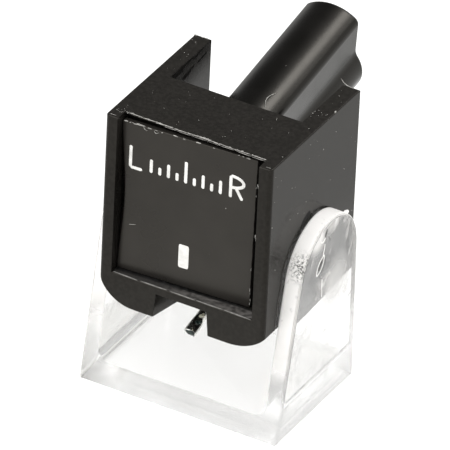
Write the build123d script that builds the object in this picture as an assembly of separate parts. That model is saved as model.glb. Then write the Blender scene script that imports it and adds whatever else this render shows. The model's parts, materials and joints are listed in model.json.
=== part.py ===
from build123d import *
import math
import os

os.makedirs("parts", exist_ok=True)

# Driving sizes in millimetres. Heights are below the deck, depths are behind the front face.
# The frame's origin is the centre of the guard's foot: +X right, +Y to the rear, +Z up.

# Housing
body_width = 15.0
body_depth = 14.1
deck_depth = 7.5
deck_thick = 1.3
wall = 1.5
front_wall = 3.0
front_edge_radius = 0.4
top_edge_radius = 0.12
leg_drop = 17.2
leg_corner_run = 3.17
leg_rise_left = 2.38
leg_rise_right = 1.35
skirt_front = 15.95
skirt_rear = 15.15
sill_top = 13.8
sill_drop = 15.9
notch_width = 5.0
notch_drop = 15.0
notch_depth = 3.7
notch_plan_angle = 11.0
notch_draft = 5.0
recess_half = 6.38
recess_top = 0.15
recess_drop = 14.35
brow_depth = 1.2
lip_radius = 0.14
root_half = 4.1
root_depth = 6.2
web_half = 3.0
web_top = 12.5
web_thick = 2.6
lug_half = 2.2
lug_front = 6.5
lug_back = 10.4
lug_wall = 0.37

# Face plate
plate_left_gap = 0.08
plate_right_gap = 0.2
plate_head_gap = 0.38
plate_foot_gap = 0.1
plate_depth = 1.2
plate_thick = 0.7
curl_run = 3.3
curl_top = 0.5
curl_foot = 0.35
curl_bow = 0.1

# Plug: figure-eight section on a line that climbs to the rear
plug_climb = 10.2
plug_front = 3.2
plug_end = 23.08
crown_rise = 0.95
crown_radius = 3.5
shoulder_half = 2.55
shoulder_radius = 0.7
waist_half = 1.95
waist_drop = 3.6
waist_radius = 1.2
lower_radius = 2.52
lower_drop = 5.15
plug_end_radius = 0.3

# Moving system: cantilever on a line that climbs to the rear
needle_climb = 15.8
needle_front = 1.70
needle_drop = 18.68
tube_outer = 0.46
tube_inner = 0.34
tube_length = 7.6
flat_length = 0.9
press_end = 1.5
press_half_width = 0.55
press_half_height = 0.30
press_wall = 0.2
pivot_along = 6.2
bush_gap = 0.07
bush_bore_gap = 0.04
bush_length = 0.8
sleeve_outer = 1.3
sleeve_inner = 1.06
sleeve_seat = 1.5
sleeve_start = 5.3
sleeve_seat_end = 9.5
sleeve_end = 14.0
magnet_radius = 0.60
magnet_start = 6.9
magnet_length = 3.7
tip_along = 0.70
tip_radius = 0.17
tip_end_radius = 0.02
tip_shank = 0.72
tip_cone = 0.32
bore_ahead = 1.0

# Guard
guard_drop = 25.4
guard_foot_width = 18.05
guard_top_width = 18.3
guard_gap = 0.15
guard_front = 0.19
guard_depth = 12.53
guard_floor = 2.0
guard_fillet = 1.0
guard_edge = 0.25
pivot_back = 7.35
pivot_drop = 12.5
pivot_top_radius = 4.6
boss_radius = 0.95
boss_clearance = 0.05
boss_reach = 1.2
boss_bevel = 0.2

# How far added blocks run into the solid they join, and cuts run past it
overlap = 0.5

# Places in the frame
half = body_width / 2
front = -(guard_front + guard_depth) / 2
deck = guard_drop
recess_depth = plate_depth + plate_thick + curl_bow


def front_plane(depth):
    """Plane square to Y at a depth behind the front face, with local x along X and local y along Z."""
    return Plane(origin=(0, front + depth, deck), x_dir=(1, 0, 0), z_dir=(0, -1, 0))


def side_plane(x):
    """Plane square to X, with local x as depth behind the front face and local y as height from the deck."""
    return Plane(origin=(x, front, deck), x_dir=(0, 1, 0), z_dir=(1, 0, 0))


def line_plane(back, drop, climb):
    """Plane square to a line that climbs to the rear: local x along X, local y up, normal to the front."""
    a = math.radians(climb)
    return Plane(origin=(0, front + back, deck - drop), x_dir=(1, 0, 0), z_dir=(0, -math.cos(a), -math.sin(a)))


def block(half_x, depths, drops):
    """Box centred on X between two depths and two drops."""
    size = (2 * half_x, depths[1] - depths[0], drops[1] - drops[0])
    centre = (0, front + (depths[0] + depths[1]) / 2, deck - (drops[0] + drops[1]) / 2)
    return Pos(*centre) * Box(*size)


def along_line(face, plane, start, end):
    """Prism of a face along a climbing line, between two distances from its plane to the rear."""
    return extrude(plane.offset(-start) * face, amount=-(end - start))


def ring(outer, inner):
    return Circle(outer) - Circle(inner)


def write(name, solid):
    solids = solid.solids()
    assert len(solids) == 1, (name, len(solids))
    export_step(solids[0], "parts/" + name + ".step")


needle_line = line_plane(needle_front, needle_drop, needle_climb)
plug_line = line_plane(plug_end, 0.0, plug_climb)
needle_angle = math.radians(needle_climb)
seat_drop = needle_drop - (lug_front - needle_front) * math.tan(needle_angle)
lug_drop = seat_drop + sleeve_seat / math.cos(needle_angle) + lug_wall
plug_length = (plug_end - plug_front) / math.cos(math.radians(plug_climb))


def leg_outline():
    """Front view of the housing: a box on a flat foot, with a long round corner on each leg."""
    flat = half - leg_corner_run
    left, right = leg_rise_left - leg_drop, leg_rise_right - leg_drop
    sides = Polyline((-half, left), (-half, 0), (half, 0), (half, right))
    foot = Line((-flat, -leg_drop), (flat, -leg_drop))
    left_corner = TangentArc((-flat, -leg_drop), (-half, left), tangent=(-1, 0))
    right_corner = TangentArc((flat, -leg_drop), (half, right), tangent=(1, 0))
    return make_face([sides, foot, left_corner, right_corner])


def below_skirt():
    """What lies under the side walls, whose lower edge climbs to the rear."""
    past = body_depth + overlap
    low = -leg_drop - overlap
    corners = [(notch_depth, -skirt_front), (past, -skirt_rear), (past, low), (notch_depth, low)]
    face = make_face(Polyline(*corners, close=True))
    return side_plane(-half - overlap) * extrude(face, amount=body_width + 2 * overlap)


def pivot_rod(radius, inner, outer):
    """Two rods on the pivot line, one for each side, between two distances from the middle."""
    rods = Part()
    for side in (-1, 1):
        rod = extrude(Circle(radius), amount=side * (outer - inner))
        rods += side_plane(side * inner) * Pos(pivot_back, -pivot_drop) * rod
    return rods


def plug_face():
    """Arched upper lobe on a round lower lobe, with round shoulders and a hollow waist."""
    crown = Pos(0, crown_rise - crown_radius) * Circle(crown_radius)
    shoulders = [(shoulder_half, crown_rise), (waist_half, -waist_drop)]
    sides = shoulders + [(-x, y) for x, y in reversed(shoulders)]
    upper = crown & make_face(Polyline(*sides, close=True))
    face = upper + Pos(0, -lower_drop) * Circle(lower_radius)
    corners = face.vertices().filter_by(lambda v: abs(v.X) > 0.1)
    face = fillet(corners.filter_by(lambda v: v.Y < -1), waist_radius)
    corners = face.vertices().filter_by(lambda v: v.Y > -0.6 and abs(v.X) > 1)
    return fillet(corners, shoulder_radius)


def make_plug():
    """Stalk with a round rear edge."""
    body = along_line(plug_face(), plug_line, -plug_length, 0)
    rear = body.faces().sort_by(Axis.Y)[-1]
    return fillet(rear.edges(), plug_end_radius)


def leg_gap():
    """Gap between the legs: narrower to the rear and, with draft, to the top."""
    ahead = 2.0
    spread = math.tan(math.radians(notch_plan_angle))
    wide = notch_width / 2 + ahead * spread
    narrow = notch_width / 2 - notch_depth * spread
    corners = [(wide, -ahead), (narrow, notch_depth), (-narrow, notch_depth), (-wide, -ahead)]
    base = Plane(origin=(0, front, deck - leg_drop))
    face = base * make_face(Polyline(*corners, close=True))
    return extrude(face, amount=leg_drop - notch_drop, taper=notch_draft)


def make_housing(plug):
    """Moulded box front, deck and side walls, with a root for the plug and a lug for the sleeve inside."""
    inner = half - wall
    past = body_depth + overlap
    low = leg_drop + overlap
    join = front_wall - overlap
    body = extrude(front_plane(0) * leg_outline(), amount=-body_depth)
    uprights = body.edges().filter_by(Axis.Z).filter_by(lambda e: e.center().Y < front + 0.1)
    body = fillet(uprights, front_edge_radius)
    body = fillet(body.faces().sort_by(Axis.Z)[-1].edges(), top_edge_radius)
    body -= block(inner, (front_wall, past), (deck_thick, low))
    body -= block(inner, (deck_depth, past), (-overlap, low))
    body -= below_skirt()
    body += block(inner, (join, notch_depth), (sill_top, sill_drop))
    body -= leg_gap()
    body += block(root_half, (join, root_depth), (deck_thick - overlap, web_top + overlap))
    body += block(web_half, (join, lug_back), (web_top, web_top + web_thick))
    body += block(lug_half, (lug_front, lug_back), (web_top + overlap, lug_drop))
    body -= block(recess_half, (-overlap, recess_depth), (recess_top, recess_drop))
    body -= block(recess_half, (-overlap, brow_depth), (-overlap, recess_top + overlap))
    body = fillet(edge_across(body, 0, recess_drop), lip_radius)
    body = fillet(edge_across(body, brow_depth, 0), top_edge_radius)
    body -= plug
    body -= along_line(Circle(sleeve_seat), needle_line, sleeve_start - bore_ahead, sleeve_end)
    body -= pivot_rod(boss_radius + boss_clearance, inner - overlap, half + overlap)
    return body


def edge_across(body, depth, drop):
    """The edge along X that lies at a depth and a drop."""
    y, z = front + depth, deck - drop
    across = body.edges().filter_by(Axis.X)
    return across.filter_by(lambda e: math.hypot(e.center().Y - y, e.center().Z - z) < 0.01)


def plate_section(x, curl):
    """Side view of the face plate at one place: straight, or with both ends curled to the front."""
    top, foot = -(recess_top + plate_head_gap), -(recess_drop - plate_foot_gap)
    ends = (plate_depth - curl * curl_top, plate_depth - curl * curl_foot)
    waist = 2 * (plate_depth + curl * curl_bow) - (ends[0] + ends[1]) / 2
    bend = [(ends[0], top), (waist, (top + foot) / 2), (ends[1], foot)]
    back = [(depth + plate_thick, height) for depth, height in bend]
    rims = [Line(bend[0], back[0]), Line(bend[-1], back[-1])]
    return side_plane(x) * make_face([Bezier(*bend), Bezier(*back)] + rims)


def make_face_plate():
    """Flat plate whose left corners curl forward, more and more towards the edge."""
    left = plate_left_gap - recess_half
    sections = [plate_section(left + curl_run * (1 - share), share**2) for share in (1, 2 / 3, 1 / 3, 0)]
    flat = 2 * recess_half - plate_left_gap - plate_right_gap - curl_run
    return loft(sections) + extrude(sections[-1], amount=flat)


def tip_place(along):
    """Point on the cantilever's line at a distance from its front end."""
    back, rise = along * math.cos(needle_angle), along * math.sin(needle_angle)
    return Pos(0, front + needle_front + back, deck - needle_drop + rise)


def make_tip():
    """Round shank set upright in the cantilever, ground to a cone."""
    shank = Pos(0, 0, -tip_shank / 2) * Cylinder(tip_radius, tip_shank)
    cone = Pos(0, 0, -tip_shank - tip_cone / 2) * Cone(tip_end_radius, tip_radius, tip_cone)
    return tip_place(tip_along) * (shank + cone)


def make_cantilever(tip):
    """Thin tube whose front end is pressed flat to hold the tip."""
    tube = along_line(Circle(tube_outer), needle_line, press_end, tube_length)
    round_end = needle_line.offset(-press_end) * Circle(tube_outer)
    flat_face = Ellipse(press_half_width, press_half_height)
    flat_end = needle_line.offset(-flat_length) * flat_face
    tube += loft([flat_end.face(), round_end.face()])
    tube += along_line(flat_face, needle_line, 0, flat_length)
    tube -= along_line(Circle(tube_inner), needle_line, press_end + press_wall, tube_length + bore_ahead)
    return tube - tip


def make_sleeve():
    """Brass tube with a thicker seat where the housing's lug holds it."""
    seat = along_line(Circle(sleeve_seat), needle_line, sleeve_start, sleeve_seat_end)
    body = seat + along_line(Circle(sleeve_outer), needle_line, sleeve_start, sleeve_end)
    bore = along_line(Circle(sleeve_inner), needle_line, sleeve_start - bore_ahead, sleeve_end + bore_ahead)
    return body - bore


def make_magnet():
    rod = along_line(Circle(magnet_radius), needle_line, magnet_start, magnet_start + magnet_length)
    return rod - along_line(Circle(tube_outer), needle_line, magnet_start - bore_ahead, tube_length)


def tangent_point(corner, turn):
    """Where the straight edge from a foot corner meets the round top of the guard's cheek."""
    dx, dy = pivot_back - corner[0], -pivot_drop - corner[1]
    reach = math.hypot(dx, dy)
    angle = math.atan2(dy, dx) + turn * math.asin(pivot_top_radius / reach)
    run = math.sqrt(reach**2 - pivot_top_radius**2)
    return (corner[0] + run * math.cos(angle), corner[1] + run * math.sin(angle))


def cheek_face():
    """Side view of the guard: a flat foot, two straight edges and a round top about the pivot."""
    ahead, behind = (guard_front, -guard_drop), (guard_depth, -guard_drop)
    up, down = tangent_point(ahead, 1), tangent_point(behind, -1)
    top = (pivot_back, pivot_top_radius - pivot_drop)
    sides = [Line(up, ahead), Line(ahead, behind), Line(behind, down), ThreePointArc(down, top, up)]
    return make_face(sides)


def lean_face():
    """Front view of the guard's outside: two cheeks that lean out from the foot to the top."""
    foot, top = guard_foot_width / 2, guard_top_width / 2
    rise = pivot_top_radius - pivot_drop
    return make_face(Polyline((-foot, -guard_drop), (foot, -guard_drop), (top, rise), (-top, rise), close=True))


def make_guard():
    """Clear U on two round bosses that snap into the side walls."""
    inside = half + guard_gap
    wide = guard_top_width + 2 * overlap
    body = side_plane(-wide / 2) * extrude(cheek_face(), amount=wide)
    body &= front_plane(-overlap) * extrude(lean_face(), amount=-guard_depth - 2 * overlap)
    sides = body.faces().sort_by(Axis.X)
    body = fillet(sides[0].edges() + sides[-1].edges(), guard_edge)
    tall = 2 * (guard_drop - guard_floor)
    well = extrude(RectangleRounded(2 * inside, tall, guard_fillet), amount=-guard_depth - 2 * overlap)
    body -= front_plane(-overlap) * well
    bosses = pivot_rod(boss_radius, inside - boss_reach, inside + overlap)
    ends = bosses.faces().filter_by(Axis.X).filter_by(lambda f: abs(f.center().X) < inside)
    bosses = chamfer(ends.edges(), boss_bevel)
    return body + bosses


plug = make_plug()
tip = make_tip()
write("housing", make_housing(plug))
write("face_plate", make_face_plate())
write("plug", plug)
write("armature_sleeve", make_sleeve())
bush_start = pivot_along - bush_length / 2
bush_face = ring(sleeve_inner - bush_gap, tube_outer + bush_bore_gap)
write("damper_bush", along_line(bush_face, needle_line, bush_start, bush_start + bush_length))
write("cantilever", make_cantilever(tip))
write("armature_magnet", make_magnet())
write("stylus_tip", tip)
write("stylus_guard", make_guard())
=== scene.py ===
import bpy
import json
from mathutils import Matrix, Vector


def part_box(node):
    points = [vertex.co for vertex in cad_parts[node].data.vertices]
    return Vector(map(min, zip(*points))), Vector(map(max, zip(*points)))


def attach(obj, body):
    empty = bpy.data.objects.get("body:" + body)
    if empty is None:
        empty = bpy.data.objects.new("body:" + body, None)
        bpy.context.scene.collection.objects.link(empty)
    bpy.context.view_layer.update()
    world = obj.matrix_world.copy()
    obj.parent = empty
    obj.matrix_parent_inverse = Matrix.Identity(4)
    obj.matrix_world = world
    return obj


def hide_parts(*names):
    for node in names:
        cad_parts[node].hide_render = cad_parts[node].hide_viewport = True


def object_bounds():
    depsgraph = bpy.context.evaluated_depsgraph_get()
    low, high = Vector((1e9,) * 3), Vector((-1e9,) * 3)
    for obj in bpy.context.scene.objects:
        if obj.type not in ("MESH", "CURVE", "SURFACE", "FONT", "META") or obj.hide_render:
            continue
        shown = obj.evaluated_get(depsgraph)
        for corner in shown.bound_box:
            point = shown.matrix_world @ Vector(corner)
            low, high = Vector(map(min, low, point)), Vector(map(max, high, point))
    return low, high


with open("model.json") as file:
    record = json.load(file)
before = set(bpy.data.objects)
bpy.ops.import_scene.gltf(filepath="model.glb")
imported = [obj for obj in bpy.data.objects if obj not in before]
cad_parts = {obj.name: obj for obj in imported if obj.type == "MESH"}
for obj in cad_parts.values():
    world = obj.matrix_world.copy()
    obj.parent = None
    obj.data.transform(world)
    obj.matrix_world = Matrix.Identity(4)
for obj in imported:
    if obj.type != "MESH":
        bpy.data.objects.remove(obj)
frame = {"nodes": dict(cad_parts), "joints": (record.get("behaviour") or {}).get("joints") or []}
CAD_BOX = [list(corner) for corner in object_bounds()]

import json
import math

import bpy
import numpy as np
from bpy.props import FloatProperty, FloatVectorProperty, IntProperty, PointerProperty
from mathutils import Matrix, Vector

bl_info = {
    "name": "Stylus assembly looks",
    "version": (1, 0, 0),
    "blender": (4, 5, 0),
    "location": "View3D > Sidebar > Stylus",
    "description": "Finishes, face marks, dust and studio for a stylus assembly with a clear flip guard",
    "category": "Object",
}

MM = 0.001
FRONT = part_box("housing")[0][1]
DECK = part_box("housing")[1][2]
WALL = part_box("housing")[1][0]
GUARD_LOW, GUARD_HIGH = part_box("stylus_guard")
PLATE_LOW, PLATE_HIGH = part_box("face_plate")
HINGE = next(joint for joint in frame["joints"] if joint["name"] == "guard_hinge")["pos_m"]


def placed(spots):
    """Places in the frame from millimetres across, behind the front face and below the deck."""
    return np.asarray(spots, dtype=float) * (MM, MM, -MM) + (0.0, FRONT, DECK)


# Sizes and colours

def colour(name, description, default):
    """Colour property in linear RGB."""
    return FloatVectorProperty(name=name, description=description, default=default,
                               subtype="COLOR", size=3, min=0.0, max=1.0)


def length(name, description, millimetres):
    """Length property, given in millimetres and kept in metres."""
    return FloatProperty(name=name, description=description, default=millimetres * MM,
                         unit="LENGTH", precision=6)


def share(name, description, default, most=1.0):
    """Plain number from nought to a most."""
    return FloatProperty(name=name, description=description, default=default, min=0.0, max=most)


def turn(name, description, degrees):
    """Angle property, given in degrees and kept in radians."""
    return FloatProperty(name=name, description=description, default=math.radians(degrees), subtype="ANGLE")


class StylusFinishes(bpy.types.PropertyGroup):
    """Colours and gloss of the pieces"""
    moulding: colour("Moulding", "Black plastic of the housing", (0.0116, 0.0106, 0.0093))
    moulding_rough: share("Moulding roughness", "Gloss of the housing", 0.16)
    plate: colour("Face plate", "Satin sheet in the front recess", (0.0165, 0.0149, 0.0133))
    plate_rough: share("Face plate roughness", "Gloss of the face plate", 0.30)
    stalk: colour("Plug", "Black plastic of the plug", (0.0024, 0.0023, 0.0021))
    stalk_rough: share("Plug roughness", "Gloss of the plug", 0.24)
    sheen: colour("Sheen", "Tint of the gloss on black plastic", (1.0, 0.945, 0.845))
    clear: colour("Clear plastic", "Tint of the guard", (0.990, 0.988, 0.980))
    # Grey tint of the guard's left foot: painted shade
    clear_left_shade: colour("Clear plastic, left foot", "Greyer tint of the guard's left foot",
                       (0.68, 0.676, 0.654))
    clear_rough: share("Clear plastic roughness", "Haze of the guard's cheeks", 0.06)
    clear_foot: share("Clear foot roughness", "Haze of the guard's foot", 0.13)
    # Frost white, which on the cheeks' edges is also painted edge light
    frost_and_edge_light: colour("Frost", "Scraped edges of the guard", (0.97, 0.955, 0.935))
    smudge: colour("Smudge", "Grease on the guard's front edge, and bubbles in its cheek",
                   (0.11, 0.107, 0.10))
    marks: colour("Marks", "White fill of the face marks", (0.86, 0.85, 0.82))
    brass: colour("Brass", "Sleeve of the moving system", (0.72, 0.52, 0.25))
    aluminium: colour("Aluminium", "Cantilever tube", (0.80, 0.80, 0.77))
    magnet: colour("Magnet", "Ground magnet rod", (0.22, 0.215, 0.21))
    rubber: colour("Rubber", "Damper bush", (0.022, 0.021, 0.020))
    diamond: colour("Diamond", "Stylus tip", (0.96, 0.95, 0.90))
    dust: colour("Dust", "Specks and fibres", (0.46, 0.45, 0.42))
    burr: colour("Burr", "Torn plastic along cut edges", (0.34, 0.33, 0.31))
    ledge: colour("Ledge", "Scraped, dusty sill under the face plate", (0.088, 0.082, 0.077))
    cream: colour("Cream bead", "Bead on the cantilever's root", (0.80, 0.78, 0.62))
    # Dark greenish beads on the cantilever
    dark_bead: colour("Dark green bead", "Dark glue on the cantilever", (0.008, 0.020, 0.016))


class StylusMarks(bpy.types.PropertyGroup):
    """Face plate, and the channel scale and cue bar on it"""
    stroke: length("Stroke", "Width of a white stroke", 0.28)
    height: length("Height", "Height of the letters and long ticks", 2.0)
    left: length("Left end", "Where the scale starts across the plate", -5.5)
    right: length("Right end", "Where the scale ends across the plate", 4.3)
    drop: length("Drop", "Middle of the scale below the deck", 3.6)
    proud: length("Proud", "How far the fill stands off the plate", 0.012)
    bar_width: length("Bar width", "Width of the cue bar", 0.90)
    bar_height: length("Bar height", "Height of the cue bar", 2.15)
    bar_middle: length("Bar middle", "Middle of the cue bar across the plate", -0.54)
    bar_drop: length("Bar drop", "Middle of the cue bar below the deck", 11.42)
    depth_left: length("Depth at the left", "Plate's front behind the housing's, at its left edge", 0.75)
    depth_right: length("Depth at the right", "Plate's front behind the housing's, at its right edge", 1.43)
    thick: length("Thickness", "Thickness of the plate", 0.5)
    edge: length("Edge radius", "Round of the plate's edges", 0.05)
    trim_top: length("Trim at the top", "Clearance cut off the right edge at its top", 0.68)
    trim_foot: length("Trim at the foot", "Clearance cut off the right edge at its foot", 0.83)
    hollow: length("Hollow", "How far the left edge is hollowed out in its middle", 0.40)


class StylusDust(bpy.types.PropertyGroup):
    """Specks, torn edges, fibres, the sill with its painted shadow line, and the draw marks with their
    painted shade
    """
    size: length("Speck size", "Half width of a usual speck", 0.022)
    burr: length("Burr size", "Half thickness of a torn edge", 0.030)
    ledge: length("Ledge", "Depth of the dust on the sill", 0.03)
    lip: length("Lip", "Half thickness of the ridge along the sill's front", 0.055)
    # Draw marks are shallow strokes coloured as painted shade inside the left arm
    drawn: length("Draw mark", "Width of a draw mark inside the left arm", 0.22)
    skin: length("Draw mark depth", "Depth of a draw mark", 0.012)
    fibre: length("Fibre", "Half thickness of a lint fibre", 0.024)
    seed: IntProperty(name="Seed", description="Start of the scatter", default=11, min=0)


class StylusGuard(bpy.types.PropertyGroup):
    """Cheeks of the guard, with their frost and painted edge light, haze and scars, and painted shade beside
    the hinge
    """
    cheek: length("Cheek", "Thickness of a cheek at its top", 1.5)
    lean: length("Lean", "How far a cheek's top stands out past its foot", 0.125)
    edge: length("Edge radius", "Round of the cheek's outer edge", 0.25)
    margin: length("Haze margin", "Clear margin between the edge and the haze on a cheek's face", 0.2)
    # Width of a near-black stroke on the housing wall: painted shade of the gap beside the hinge
    gap: length("Gap", "Width of the dark gap beside the hinge", 0.55)
    skin: length("Frost", "Depth of the frosted skin", 0.012)
    bubble: length("Bubble", "Width of a bubble in the cheek", 0.34)
    scar: length("Scar", "Width of a scar in the cheek", 0.15)


class StylusStage(bpy.types.PropertyGroup):
    """Floor, light and camera"""
    azimuth: turn("Azimuth", "Camera turn to the right of the front", 28.3215)
    elevation: turn("Elevation", "Camera angle above the floor", 33.0424)
    roll: turn("Roll", "Camera turn about its own line of sight", 2.7373)
    aim: FloatVectorProperty(name="Aim", description="Point in the middle of the picture",
                             subtype="TRANSLATION", unit="LENGTH", precision=6,
                             default=(0.0044130, -0.0078703, 0.0201374))
    distance: length("Distance", "Camera from the aim", 935.18)
    lens: FloatProperty(name="Lens", description="Focal length on a 36 mm sensor", default=960.0,
                        subtype="DISTANCE_CAMERA")
    floor: colour("Floor", "Pale floor", (0.12, 0.12, 0.119))
    glow: share("Floor glow", "Light that the floor table gives of its own", 1.05, 4.0)
    rim: share("Floor rim", "Share of that light away from the object", 0.69)
    room: share("Room", "Light of the white room", 0.95, 4.0)
    gloom: share("Gloom", "Light of the dim side, behind on the left", 0.12, 4.0)
    dim_side: FloatVectorProperty(name="Dim side", description="Way to the middle of the dim side",
                                  subtype="DIRECTION", default=(-0.64, 0.40, 0.66))
    key: share("Key light", "Strength of the soft overhead light", 2.5, 20.0)
    box: share("Side box", "Power of the soft box behind on the right", 0.70, 20.0)


# Surfaces

def add_piece(name, points, loops, starts, body, slot, material):
    """Object at the origin from vertex places, the corners of its faces and where each face starts."""
    mesh = bpy.data.meshes.new(name)
    mesh.vertices.add(len(points))
    mesh.vertices.foreach_set("co", np.asarray(points, dtype=np.float32).ravel())
    mesh.loops.add(len(loops))
    mesh.loops.foreach_set("vertex_index", np.asarray(loops, dtype=np.int32))
    mesh.polygons.add(len(starts))
    mesh.polygons.foreach_set("loop_start", np.asarray(starts, dtype=np.int32))
    mesh.update(calc_edges=True)
    mesh.polygons.foreach_set("use_smooth", np.ones(len(starts), dtype=bool))
    if mesh.validate():
        raise RuntimeError("bad faces in " + name)
    piece = bpy.data.objects.new(name, mesh)
    bpy.context.scene.collection.objects.link(piece)
    mesh.materials.append(material)
    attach(piece, body)
    return piece


def closed_shells(rings, start, end):
    """Faces of many like closed shells, turned outwards.

    rings[k, i, j] is point j round ring i of shell k. Neighbouring rings are joined by four-sided faces.
    The first and last ring are closed by fans to the poles start[k] and end[k]. The sign of the volume,
    the sum of a . (b x c) over the triangles of all faces, says whether the corners run the right way round.
    """
    count, along, around = rings.shape[:3]
    points = np.concatenate([rings.reshape(count, along * around, 3), start[:, None], end[:, None]], axis=1)
    i, j = np.meshgrid(np.arange(along - 1), np.arange(around), indexing="ij")
    k = (j + 1) % around
    quads = np.stack([i * around + j, i * around + k, (i + 1) * around + k, (i + 1) * around + j], axis=-1)
    j = np.arange(around)
    k = (j + 1) % around
    top = (along - 1) * around
    fan_a = np.stack([np.full(around, along * around), k, j], axis=-1)
    fan_b = np.stack([np.full(around, along * around + 1), top + j, top + k], axis=-1)
    base = np.arange(count)[:, None, None] * (along * around + 2)
    quads = (quads.reshape(1, -1, 4) + base).reshape(-1, 4)
    fans = (np.concatenate([fan_a, fan_b])[None] + base).reshape(-1, 3)
    points = points.reshape(-1, 3)
    halves = np.concatenate([quads[:, :3], quads[:, [0, 2, 3]], fans])
    a, b, c = (points[halves[:, n]] - points.mean(axis=0) for n in range(3))
    if np.einsum("ij,ij->", a, np.cross(b, c)) < 0:
        quads, fans = quads[:, ::-1], fans[:, ::-1]
    loops = np.concatenate([quads.ravel(), fans.ravel()])
    starts = np.concatenate([np.arange(len(quads)) * 4, quads.size + np.arange(len(fans)) * 3])
    return points, loops, starts


def bezier(points, t):
    """Cubic curves at shares t: each ends at its points 0 and 3 and is pulled towards points 1 and 2."""
    p = points[:, None]
    t = t[None, :, None]
    return ((1 - t) ** 3 * p[..., 0, :] + 3 * t * (1 - t) ** 2 * p[..., 1, :]
            + 3 * t**2 * (1 - t) * p[..., 2, :] + t**3 * p[..., 3, :])


def straight(a, b):
    """Control points of a straight stroke, at thirds of the way."""
    a, b = np.array(a, dtype=float), np.array(b, dtype=float)
    return [a, (2 * a + b) / 3, (a + 2 * b) / 3, b]


def flat_strokes(curves, width, proud, along=26, around=10):
    """Round-ended strokes over a plane, each a flat ellipse carried along a cubic curve of that plane.

    Within half a width of either end the half width falls off as a circle does, so the ends are half round.
    Returns places along the plane's first axis, off the plane, and along its second axis.
    """
    t = (1 - np.cos(np.linspace(0, np.pi, along + 2))) / 2
    path = bezier(curves, t)
    step = np.gradient(path, axis=1)
    step /= np.linalg.norm(step, axis=-1, keepdims=True)
    side = np.stack([step[..., 1], -step[..., 0]], axis=-1)
    run = np.linalg.norm(np.diff(path, axis=1), axis=-1)
    gone = np.concatenate([np.zeros((len(path), 1)), np.cumsum(run, axis=1)], axis=1)
    from_end = np.minimum(gone, gone[:, -1:] - gone)
    half = width / 2
    fall = np.sqrt(np.clip(1 - (1 - np.clip(from_end / half, 0, 1)) ** 2, 0, 1))[:, 1:-1]
    angle = np.linspace(0, 2 * np.pi, around, endpoint=False)
    across = fall[..., None] * half * np.cos(angle)
    off = fall[..., None] * proud * np.sin(angle)
    flat = path[:, 1:-1, None] + side[:, 1:-1, None] * across[..., None]
    rings = np.stack([flat[..., 0], off, flat[..., 1]], axis=-1)
    poles = np.stack([path[..., 0], np.zeros(path.shape[:2]), path[..., 1]], axis=-1)
    return rings, poles[:, 0], poles[:, -1]


def strokes_aside(curves, width, proud, across=0.0):
    """Flat strokes in a side plane that lies at a place across.

    The curves are given in millimetres behind the front face and below the deck.
    """
    strokes = flat_strokes(np.array(curves) * (MM, -MM) + (FRONT, DECK), width, proud)
    return [part[..., [1, 0, 2]] + (across, 0.0, 0.0) for part in strokes]


def rounded_slab(width, height, proud, along=9, around=48, square=10.0):
    """Thin slab with round corners and a soft rim, about the middle of a plane.

    Its outline is the superellipse |x/a|^n + |z/b|^n = 1. A ring lies off the plane by the sine of its lift,
    and it shrinks towards both faces by 0.12 times the square of 1 less the lift's cosine.
    """
    angle = np.linspace(0, 2 * np.pi, around, endpoint=False)
    reach = (np.abs(np.cos(angle)) ** square + np.abs(np.sin(angle)) ** square) ** (-1 / square)
    lift = np.linspace(-np.pi / 2, np.pi / 2, along + 2)[1:-1]
    shrink = 1 - 0.12 * (1 - np.cos(lift)) ** 2
    x = width / 2 * np.outer(shrink, reach * np.cos(angle))
    z = height / 2 * np.outer(shrink, reach * np.sin(angle))
    off = np.broadcast_to(proud * np.sin(lift)[:, None], x.shape)
    rings = np.stack([x, off, z], axis=-1)[None]
    poles = np.array([[[0.0, -proud, 0.0]], [[0.0, proud, 0.0]]])
    return rings, poles[0], poles[1]


def lumps(places, sizes, rng, along=5, around=8):
    """Small uneven grains: spheres stretched by three sizes, with a radius that swells round each one."""
    count = len(places)
    u = np.linspace(0, np.pi, along + 2)[1:-1]
    v = np.linspace(0, 2 * np.pi, around, endpoint=False)
    u, v = np.meshgrid(u, v, indexing="ij")
    phase = rng.uniform(0, 2 * np.pi, (count, 2, 1, 1))
    swell = 1 + 0.22 * np.sin(2 * v + phase[:, 0]) + 0.18 * np.sin(3 * v - 2 * u + phase[:, 1])
    ball = np.stack([np.sin(u) * np.cos(v), np.sin(u) * np.sin(v), np.cos(u)], axis=-1)
    rings = places[:, None, None] + ball * swell[..., None] * sizes[:, None, None]
    tall = np.array([0, 0, 1.0]) * sizes
    return rings, places + tall, places - tall


def round_threads(curves, radius, along=30, around=6):
    """Thin fibres: a small circle carried along cubic curves in space, tapering to a point at both ends."""
    t = np.linspace(0, 1, along + 2)
    path = bezier(curves, t)
    step = np.gradient(path, axis=1)
    step /= np.linalg.norm(step, axis=-1, keepdims=True)
    no_fibre = np.array([0.31, 0.17, 0.93])  # a direction that no fibre follows
    aside = np.cross(step, no_fibre)
    aside /= np.linalg.norm(aside, axis=-1, keepdims=True)
    above = np.cross(step, aside)
    angle = np.linspace(0, 2 * np.pi, around, endpoint=False)[:, None]
    thick = radius * np.sqrt(np.sin(np.pi * t))[None, :, None, None]
    rings = path[:, :, None] + thick * (aside[:, :, None] * np.cos(angle) + above[:, :, None] * np.sin(angle))
    return rings[:, 1:-1], path[:, 0], path[:, -1]


def scatter(patches, size, rng):
    """Grains drawn evenly between the two corners of flat patches, half as thick across a patch."""
    low, high, counts = (np.array(column) for column in zip(*patches))
    low, high = np.repeat(low, counts, axis=0), np.repeat(high, counts, axis=0)
    sizes = size * rng.lognormal(0.0, 0.38, (len(low), 1)) * np.where(low == high, 0.5, 1.0)
    return placed(rng.uniform(low, high)), sizes


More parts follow.
